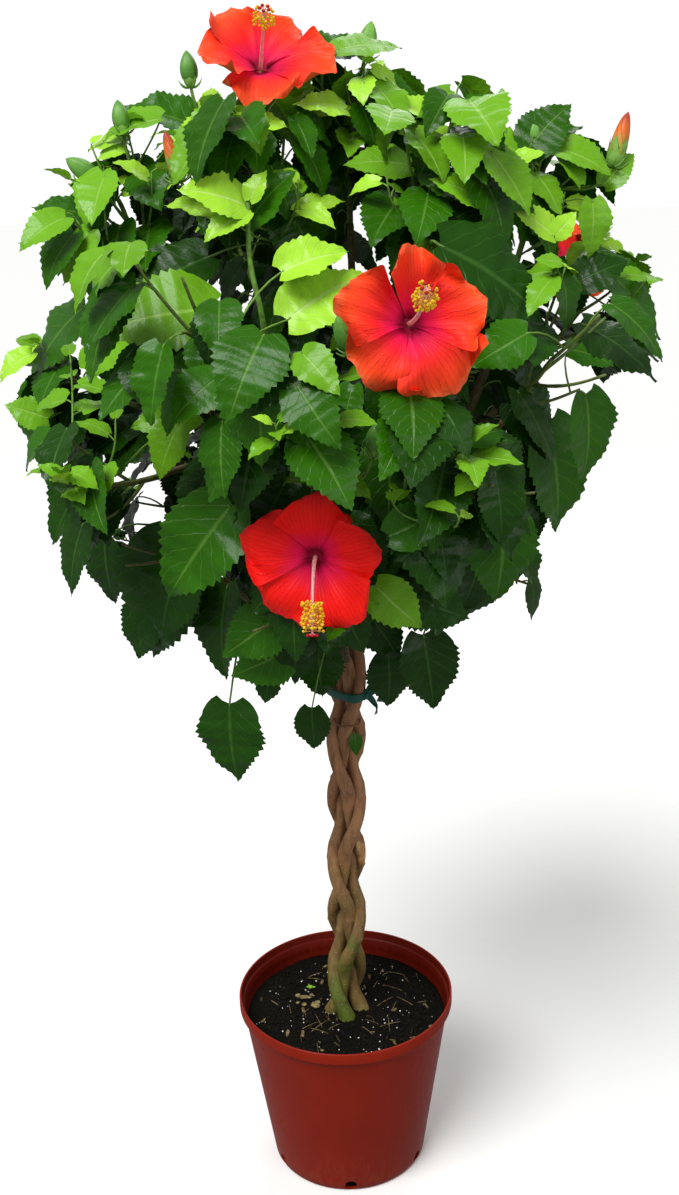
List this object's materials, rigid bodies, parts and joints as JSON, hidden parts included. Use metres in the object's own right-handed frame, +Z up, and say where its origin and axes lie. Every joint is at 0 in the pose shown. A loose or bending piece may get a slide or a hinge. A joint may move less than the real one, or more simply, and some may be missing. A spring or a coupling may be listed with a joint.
{
  "type": "potted hibiscus shrub",
  "caption": "Potted flowering hibiscus trained as a standard: a plaited bare trunk in a round nursery pot under a rounded leafy crown with red blossom.",
  "frame": {"origin": "centre of the pot's flat underside, on the ground", "axes": "+Z up along the trunk, -Y towards the front, +X to the right seen from the front"},
  "size_m": [0.6647, 0.6922, 1.3065],
  "materials": {
    "pot_plastic": "satin, moulded",
    "growing_mix": "rough, crumbly, damp",
    "stem_bark": "thin grey-brown bark, olive at the foot",
    "bough_bark": "thin brown bark",
    "foliage": "glossy green leaves, red petals",
    "tie_tape": "soft stretch tape"
  },
  "bodies": {
    "root": {"pot": "pot_plastic", "soil": "growing_mix", "tie_band": "tie_tape", "stem_1": "stem_bark", "stem_2": "stem_bark", "stem_3": "stem_bark", "stem_4": "stem_bark", "bough_high_right": "bough_bark", "bough_top": "bough_bark", "bough_high_left": "bough_bark", "bough_top_front_right": "bough_bark", "bough_top_front_left": "bough_bark", "bough_high_back_left": "bough_bark", "bough_high_back_right": "bough_bark", "bough_front_left": "bough_bark", "bough_front_right": "bough_bark", "bough_right_front": "bough_bark", "bough_right": "bough_bark", "bough_back_right": "bough_bark", "bough_back": "bough_bark", "bough_back_left": "bough_bark", "bough_left": "bough_bark", "bough_left_front": "bough_bark", "bough_front": "bough_bark", "bough_front_low_right": "bough_bark", "bough_inner_front": "bough_bark", "bough_low_front": "bough_bark", "bough_low_front_right": "bough_bark", "bough_low_right": "bough_bark", "bough_low_back": "bough_bark", "bough_low_left": "bough_bark", "bough_low_front_left": "bough_bark", "bough_inner_low": "bough_bark", "mass_high_right": "foliage", "mass_top": "foliage", "mass_high_left": "foliage", "mass_top_front_right": "foliage", "mass_top_front_left": "foliage", "mass_high_back_left": "foliage", "mass_high_back_right": "foliage", "mass_front_left": "foliage", "mass_front_right": "foliage", "mass_right_front": "foliage", "mass_right": "foliage", "mass_back_right": "foliage", "mass_back": "foliage", "mass_back_left": "foliage", "mass_left": "foliage", "mass_left_front": "foliage", "mass_front": "foliage", "mass_front_low_right": "foliage", "mass_inner_front": "foliage", "mass_low_front": "foliage", "mass_low_front_right": "foliage", "mass_low_right": "foliage", "mass_low_back": "foliage", "mass_low_left": "foliage", "mass_low_front_left": "foliage", "mass_inner_low": "foliage"}
  },
  "joints": []
}
